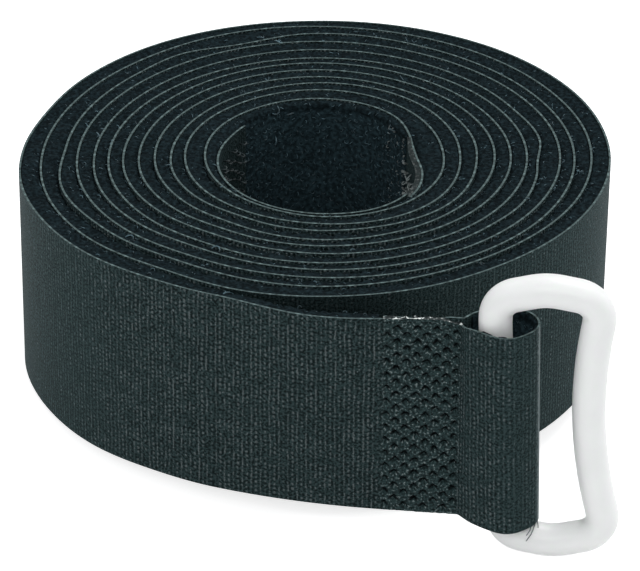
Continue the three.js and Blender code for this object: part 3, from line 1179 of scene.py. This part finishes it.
def build_pile(name, along, full, seed, material):
    """A closed mat of pile over a stretch of the web, no thicker than the space it has."""
    rows = pile_rows()
    mesh, run, step, _ = grid_mesh(name, along, np.arange(len(rows)))
    share, height = rows[step.astype(int), 0], rows[step.astype(int), 1]
    lumps = value_noise(run, height, 0.42, seed) - 0.5
    fine = value_noise(run, height, 0.2, seed + 1) - 0.5
    depth = WEB_THICK / 2 + 0.02 + share * (pile_space(run, full) + 0.22 * lumps + 0.12 * fine)
    edge = np.where(height > TAPE_WIDTH / 2, 1, -1) * (share < 1) * (share > 0)
    height = height + edge * (0.45 * (value_noise(run, share, 0.38, seed + 2) - 0.5))
    set_vertices(mesh, line.place(run, depth, height))
    # The face toward the roll's middle, where the material paints light on the bore's wall
    set_look(mesh, "face", share >= 1)
    bm = bmesh.new()
    bm.from_mesh(mesh)
    bmesh.ops.remove_doubles(bm, verts=bm.verts, dist=1e-6)
    bmesh.ops.holes_fill(bm, edges=[e for e in bm.edges if e.is_boundary], sides=0)
    bmesh.ops.recalc_face_normals(bm, faces=bm.faces)
    bm.to_mesh(mesh)
    bm.free()
    return show(mesh, STRAP_BODY, "loop_pile", material)


def loop_pattern(radius):
    """One small arch of yarn."""
    half, rise = 0.00022, 0.0003
    turns = [math.pi * i / 5 for i in range(6)]
    points = [Vector((half * math.cos(turn), 0, rise * math.sin(turn))) for turn in turns]
    bm = sweep(rod_stations(points, [radius] * len(points), Vector((0, 1, 0))), 3)
    return finished(bm, "loop_pattern")


def facing_matrices(run, depth, height, twist, tilt, size):
    """Placing matrices for small yarns that stand on the strip's inner face."""
    probe = 0.5
    foot = line.place(run, depth, height)
    tip = line.place(run, depth + probe, height)
    ahead = line.place(run + probe, depth, height)
    matrices = []
    for a, b, c, turn, lean, scale in zip(foot, tip, ahead, twist, tilt, size):
        up = Vector(b - a).normalized()
        side = Vector(c - a)
        side = (side - up * side.dot(up)).normalized()
        frame_axes = Matrix((side, up.cross(side), up)).transposed().to_4x4()
        turned = Matrix.Rotation(turn, 4, "Z") @ Matrix.Rotation(lean, 4, "X")
        matrices.append(Matrix.Translation(a) @ frame_axes @ turned @ Matrix.Scale(scale, 4))
    return matrices


class STRAP_OT_loop_pile(bpy.types.Operator):
    """Builds the matted loop pile and the single loops that stand out of it"""

    bl_idname = "strap.loop_pile"
    bl_label = "Loop pile"

    def execute(self, context):
        sizes = context.scene.strap_pile
        start, last = HOOK_LAP + PILE_CLEAR, line.weld_start - PILE_CLEAR
        self.build_mats(start, last, pile_material(sizes))
        pick = np.random.default_rng(8)
        self.build_loops(start, last, sizes, pick)
        self.build_fused(sizes, pick)
        return {"FINISHED"}

    def build_mats(self, start, last, mat):
        """The closed mats on the turns and in the fold."""
        split = line.at_angle(PILE_SPLIT_ANGLE)
        for name, first, final, seed in (
            ("pile_inner_turns", start, split, 11),
            ("pile_outer_turns", split, last, 21),
        ):
            along = np.linspace(first, final, int((final - first) / MAT_COLUMN))
            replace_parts(build_pile(name, along, PILE_HEIGHT, seed, mat), "loop_pile")
        first, final = line.weld_end + LINING_CLEAR, line.fold_end - LINING_CLEAR
        along = np.linspace(first, final, LINING_COLUMNS)
        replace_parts(build_pile("pile_in_fold", along, LINING, 31, mat), "loop_pile")

    def build_loops(self, start, last, sizes, pick):
        """Single loops in the bore, in the fold and along the upper edge of all turns."""
        count = sizes.loops
        wall = int(count * BORE_SHARE)
        lining = int(count * LINING_SHARE)
        band = count - wall - lining
        rising = np.linspace(start, line.at_angle(BORE_ANGLE), wall)
        run = np.concatenate(
            [
                rising + pick.normal(0, 0.1, wall),
                pick.uniform(line.weld_end + 1.4, line.fold_end - 1.4, lining),
                pick.uniform(start, last, band),
            ]
        )
        height = np.concatenate(
            [
                np.mod(1.25 * np.arange(wall) + pick.normal(0, 0.15, wall), TAPE_WIDTH - 2) + 1,
                pick.uniform(12, TAPE_WIDTH - 1, lining),
                TAPE_WIDTH - PILE_MARGIN - 0.1 - 0.8 * pick.random(band) ** 2,
            ]
        )
        full = pile_space(run, PILE_HEIGHT)
        full[wall : wall + lining] = LINING
        shares = [np.full(wall + lining, 0.92), pick.uniform(0.15, 0.85, band)]
        depth = WEB_THICK / 2 + full * np.concatenate(shares)
        twist = pick.uniform(0, math.tau, count)
        tilt = pick.uniform(-0.9, 0.9, count)
        size = pick.uniform(0.6, 1.3, count) * np.where(pick.random(count) < 0.015, 2.2, 1)
        size[wall : wall + lining] *= 0.6
        matrices = facing_matrices(run, depth, height, twist, tilt, size)
        # The single loops are five times lighter than the pile, partly their own shine and partly
        # painted glints
        shiny = filament_material("pile_yarn", shade(sizes.pile_colour, 5.0), 0.4)
        loops = scatter("pile_loops", loop_pattern(sizes.yarn), matrices)
        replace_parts(show(loops, STRAP_BODY, "loop_pile", shiny), "loop_pile")

    def build_fused(self, sizes, pick):
        """Loops that the heat of the lap's weld has fused, painted bright as painted glints."""
        run = HOOK_LAP + 0.3 + 5 * pick.random(FUSED_LOOPS) ** 1.5
        height = pick.uniform(1, TAPE_WIDTH - 0.6, FUSED_LOOPS)
        depth = WEB_THICK / 2 + pile_space(run, PILE_HEIGHT)
        twist = pick.uniform(0, math.tau, FUSED_LOOPS)
        tilt = pick.uniform(-1.2, 1.2, FUSED_LOOPS)
        size = pick.uniform(0.4, 0.9, FUSED_LOOPS)
        matrices = facing_matrices(run, depth, height, twist, tilt, size)
        fused = filament_material("fused_yarn", GLINT_TONE, 0.5)
        loops = scatter("fused_loops", loop_pattern(sizes.yarn * 1.6), matrices)
        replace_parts(show(loops, STRAP_BODY, "loop_pile", fused), "loop_pile")


def hook_pattern(sizes):
    """One filament hook: a stem that curls over into a crook."""
    bend = CROOK * MM
    stem = sizes.height - bend - sizes.filament
    points = [Vector((0, 0, 0)), Vector((0, 0, stem))]
    for turn in CROOK_TURNS:
        a = math.radians(turn)
        points.append(Vector((bend - bend * math.cos(a), 0, stem + bend * math.sin(a))))
    radii = [sizes.filament] * (len(points) - 1) + [sizes.filament * 0.8]
    bm = sweep(rod_stations(points, radii, Vector((0, 1, 0))), 5)
    return finished(bm, "hook_pattern")


class STRAP_OT_hook_tape(bpy.types.Operator):
    """Builds the short hook tape at the inner end, with its rows of hooks"""

    bl_idname = "strap.hook_tape"
    bl_label = "Hook tape"

    MEETING = 0.2
    MELT, DUST, SOOT = 0.45, 0.45, 0.8

    def inward(self, run):
        """Depth of the hook tape's web, which meets the loop tape's where their lap ends."""
        return self.MEETING + (HOOK_INWARD - self.MEETING) * ease((HOOK_LAP - run) / 5)

    def between(self, run):
        """Depth of the melted yarn that fills the lap between the two webs."""
        return self.inward(run) / 2

    def melted(self, run):
        """How far the lap is melted."""
        return self.MELT * ease(run + 0.5)

    def darkened(self, run):
        """How far the hook tape's web is darkened towards near black."""
        return np.full(len(run), self.DUST)

    def sooty(self, run):
        """How dark the lap's cut edge is."""
        return self.SOOT * ease(run + 0.5)

    def execute(self, context):
        free = line.at_angle(HOOK_TIP_ANGLE)
        self.build_webs(web_materials(context.scene.strap_weave), free)
        self.build_hooks(context.scene.strap_hooks, free)
        return {"FINISHED"}

    def build_webs(self, web, free):
        """The hook tape's own web, and the melted yarn in its lap with the loop tape."""
        along = np.linspace(free, HOOK_LAP, 120)
        looks = {"melt": self.melted, "shade_and_darkening": self.darkened, "glint_fade": np.ones_like, "soot": self.sooty}
        piece = build_web("hook_web", along, web, self.inward, **looks)
        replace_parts(piece, "hook_tape")
        along = np.linspace(0.1, HOOK_LAP - 0.1, 80)
        lap = build_web("lap_weld", along, web, self.between, LAP_THICK, **looks)
        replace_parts(lap, "hook_tape")

    def build_hooks(self, sizes, free):
        """Rows of hooks, upright on the free length and crushed on the lap."""
        pick = np.random.default_rng(3)
        pitch = sizes.pitch / MM
        rows = np.arange(free + 1.5, HOOK_LAP - 1.2, pitch)
        columns = np.arange(1.4, TAPE_WIDTH - 1.2, pitch)
        run, height = (a.ravel() for a in np.meshgrid(rows, columns, indexing="ij"))
        count = len(run)
        height = height + 0.5 * pitch * (np.rint(run / pitch) % 2) + pick.normal(0, 0.06, count)
        height = np.minimum(height, TAPE_WIDTH - 1.1)
        crushed = run > 0
        facing = np.where(np.rint(height / pitch) % 2 == 0, 0.0, math.pi)
        twist = facing + pick.normal(0, 0.25, count)
        tilt = pick.normal(0, 0.12, count) + crushed * pick.normal(0, 0.6, count)
        size = np.where(crushed, pick.uniform(0.6, 1.05, count), pick.uniform(0.92, 1.04, count))
        depth = self.inward(run) + WEB_THICK / 2 - 0.03
        run = run + pick.normal(0, 0.05, count)
        matrices = np.array(facing_matrices(run, depth, height, twist, tilt, size))
        pattern = hook_pattern(sizes)
        # The hooks crushed on the lap are painted bright as painted glints
        for name, kept, colour in (
            ("hooks", ~crushed, shade(sizes.colour, 0.5)),
            ("hooks_in_lap", crushed, GLINT_TONE),
        ):
            hooks = scatter(name, pattern, matrices[kept])
            filament = filament_material(name + "_filament", colour, 0.5)
            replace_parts(show(hooks, STRAP_BODY, "hooks", filament), "hook_field")


def ring_line(sizes):
    """Points and radii once round the ring, with its inner bar on the Z axis, its middle at 0."""
    half, bend, reach = sizes.spacing / 2, CORNER_BEND * MM, sizes.reach
    bar, arm = sizes.bar_rod / 2, sizes.arm_rod / 2
    points, radii = [], []

    def add(x, z, radius):
        points.append(Vector((x, 0, z)))
        radii.append(radius)

    def corner(x, z, first, one, other):
        for i in range(CORNER_STEPS + 1):
            turn = math.radians(first + 90 * i / CORNER_STEPS)
            radius = one + (other - one) * ease(i / CORNER_STEPS)
            add(x + bend * math.cos(turn), z + bend * math.sin(turn), radius)

    def straight(start, end, bow, steps, radius):
        for i in range(1, steps):
            share = i / steps
            x, z = (a + (b - a) * share for a, b in zip(start, end))
            push = bow(share)
            add(x + push[0], z + push[1], radius)

    def arch(way):
        return lambda share: (0, way * ARM_ARCH * MM * math.sin(math.pi * share))

    def pinch(share):
        return (-sizes.pinch * (1 - (2 * share - 1) ** 2), 0)

    corner(bend, -half + bend, 180, bar, arm)
    straight((bend, -half), (reach - bend, -half), arch(-1), ARM_STEPS, arm)
    corner(reach - bend, -half + bend, 270, arm, bar)
    straight((reach, -half + bend), (reach, half - bend), pinch, OUTER_STEPS, bar)
    corner(reach - bend, half - bend, 0, bar, arm)
    straight((reach - bend, half), (bend, half), arch(1), ARM_STEPS, arm)
    corner(bend, half - bend, 90, arm, bar)
    straight((0, half - bend), (0, -half + bend), lambda share: (0, 0), INNER_STEPS, bar)
    return points, radii


def ring_place():
    """Where the ring sits: on the pivot of its joint, leaned as the photograph shows it."""
    way = Matrix.Rotation(END_HEADING, 4, "Z")
    side = Vector((-math.sin(END_HEADING), math.cos(END_HEADING)))
    along = Vector((math.cos(END_HEADING), math.sin(END_HEADING)))
    pivot = WELD_END + along * BAR_BEYOND - side * BAR_ASIDE
    spot = Matrix.Translation(Vector((pivot.x, pivot.y, RING_HEIGHT)))
    stand = Matrix.Scale(MM, 4) @ STAND @ spot @ way @ Matrix.Rotation(RING_LEAN, 4, "Y")
    return stand @ Matrix.Scale(1 / MM, 4)


class STRAP_OT_ring(bpy.types.Operator):
    """Builds the moulded plastic ring"""

    bl_idname = "strap.ring"
    bl_label = "Ring"

    def execute(self, context):
        sizes = context.scene.strap_ring
        points, radii = ring_line(sizes)
        for _ in range(RING_SMOOTHING):
            ahead, behind = points[1:] + points[:1], points[-1:] + points[:-1]
            points = [(p * 2 + a + b) / 4 for p, a, b in zip(points, ahead, behind)]
        stations = rod_stations(points, radii, Vector((0, 1, 0)), closed=True)
        bm = sweep(stations, RING_SIDES, closed=True)
        bmesh.ops.transform(bm, matrix=ring_place(), verts=bm.verts)
        bmesh.ops.recalc_face_normals(bm, faces=bm.faces)
        mesh = finished(bm, "moulded_ring")
        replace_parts(show(mesh, RING_BODY, "ring_plastic", ring_material(sizes)), "ring")
        return {"FINISHED"}


class STRAP_OT_stage(bpy.types.Operator):
    """Builds the floor, the lights and the camera"""

    bl_idname = "strap.stage"
    bl_label = "Stage"

    def execute(self, context):
        self.build_floor(context.scene.strap_stage)
        self.build_lights(context.scene)
        self.build_camera(context.scene)
        context.scene.view_settings.view_transform = "Standard"
        return {"FINISHED"}

    def build_floor(self, sizes):
        """A matt floor that glows white where it is seen, with a glow that lights nothing."""
        bm = bmesh.new()
        bmesh.ops.create_grid(bm, x_segments=1, y_segments=1, size=sizes.floor / 2)
        mesh = finished(bm, "floor")
        f = Finish("floor_white")
        path = f.add("ShaderNodeLightPath").outputs
        seen = f.math("MAXIMUM", path["Is Camera Ray"], path["Is Glossy Ray"])
        seen = f.math("MAXIMUM", seen, path["Is Transmission Ray"])
        glow = f.times(seen, FLOOR_GLOW)
        f.put(f.shader.inputs["Emission Color"], (1, 1, 1, 1))
        f.put(f.shader.inputs["Emission Strength"], glow)
        colour = (*sizes.floor_colour, 1)
        mesh.materials.append(f.surface(colour, 1.0, specular_ior_level=0.0))
        floor = bpy.data.objects.new("floor", mesh)
        bpy.context.scene.collection.objects.link(floor)

    def build_lights(self, scene):
        """A pale sky and four square lamps that face the roll."""
        world = bpy.data.worlds.new("studio")
        scene.world = world
        world.use_nodes = True
        back = world.node_tree.nodes["Background"]
        back.inputs["Color"].default_value = SKY_TONE
        back.inputs["Strength"].default_value = SKY_STRENGTH
        for name, where, size, energy in LAMPS:
            data = bpy.data.lights.new(name, "AREA")
            data.size = size
            data.energy = energy
            lamp = bpy.data.objects.new(name, data)
            lamp.location = where
            lamp.rotation_euler = (-Vector(where)).to_track_quat("-Z", "Y").to_euler()
            scene.collection.objects.link(lamp)

    def build_camera(self, scene):
        """The photograph's camera, placed in the leaned roll's own frame."""
        forward = Vector((0, math.cos(CAMERA_ELEVATION), -math.sin(CAMERA_ELEVATION)))
        right = Vector((1, 0, 0))
        up = right.cross(forward)
        c, s = math.cos(CAMERA_ROLL), math.sin(CAMERA_ROLL)
        right, up = right * c + up * s, up * c - right * s
        turn = Matrix((right, up, -forward)).transposed().to_4x4()
        place = STAND @ Matrix.Translation(CAMERA_TARGET - forward * CAMERA_DISTANCE) @ turn
        data = bpy.data.cameras.new("camera")
        data.sensor_width = SENSOR
        data.lens = CAMERA_LENS
        data.clip_start = 0.01
        data.clip_end = 10
        camera = bpy.data.objects.new("camera", data)
        camera.matrix_world = Matrix.Translation(place.translation * MM) @ place.to_3x3().to_4x4()
        scene.collection.objects.link(camera)
        scene.camera = camera


class STRAP_PT_panel(bpy.types.Panel):
    """Lists the pieces of the strap"""

    bl_idname = "STRAP_PT_panel"
    bl_label = "Strap"
    bl_space_type = "VIEW_3D"
    bl_region_type = "UI"
    bl_category = "Strap"

    def draw(self, context):
        for operator in OPERATORS:
            self.layout.operator(operator.bl_idname)
        for name, group in SIZES.items():
            box = self.layout.box()
            for prop in group.__annotations__:
                box.prop(getattr(context.scene, name), prop)


SIZES = {
    "strap_weave": WeaveSizes,
    "strap_pile": PileSizes,
    "strap_hooks": HookSizes,
    "strap_ring": RingSizes,
    "strap_stage": StageSizes,
}
OPERATORS = (
    STRAP_OT_stage,
    STRAP_OT_wound_web,
    STRAP_OT_folded_end,
    STRAP_OT_loop_pile,
    STRAP_OT_hook_tape,
    STRAP_OT_ring,
)
CLASSES = (*SIZES.values(), *OPERATORS, STRAP_PT_panel)


def register():
    """Adds the operators, the panel and the sizes to Blender."""
    for cls in CLASSES:
        bpy.utils.register_class(cls)
    for name, group in SIZES.items():
        setattr(bpy.types.Scene, name, PointerProperty(type=group))


def unregister():
    """Takes them out again."""
    for name in SIZES:
        delattr(bpy.types.Scene, name)
    for cls in reversed(CLASSES):
        bpy.utils.unregister_class(cls)


def main():
    """Builds the strap and its stage."""
    register()
    bpy.ops.strap.stage()
    bpy.ops.strap.wound_web()
    bpy.ops.strap.folded_end()
    bpy.ops.strap.loop_pile()
    bpy.ops.strap.hook_tape()
    bpy.ops.strap.ring()


if __name__ == "__main__":
    main()
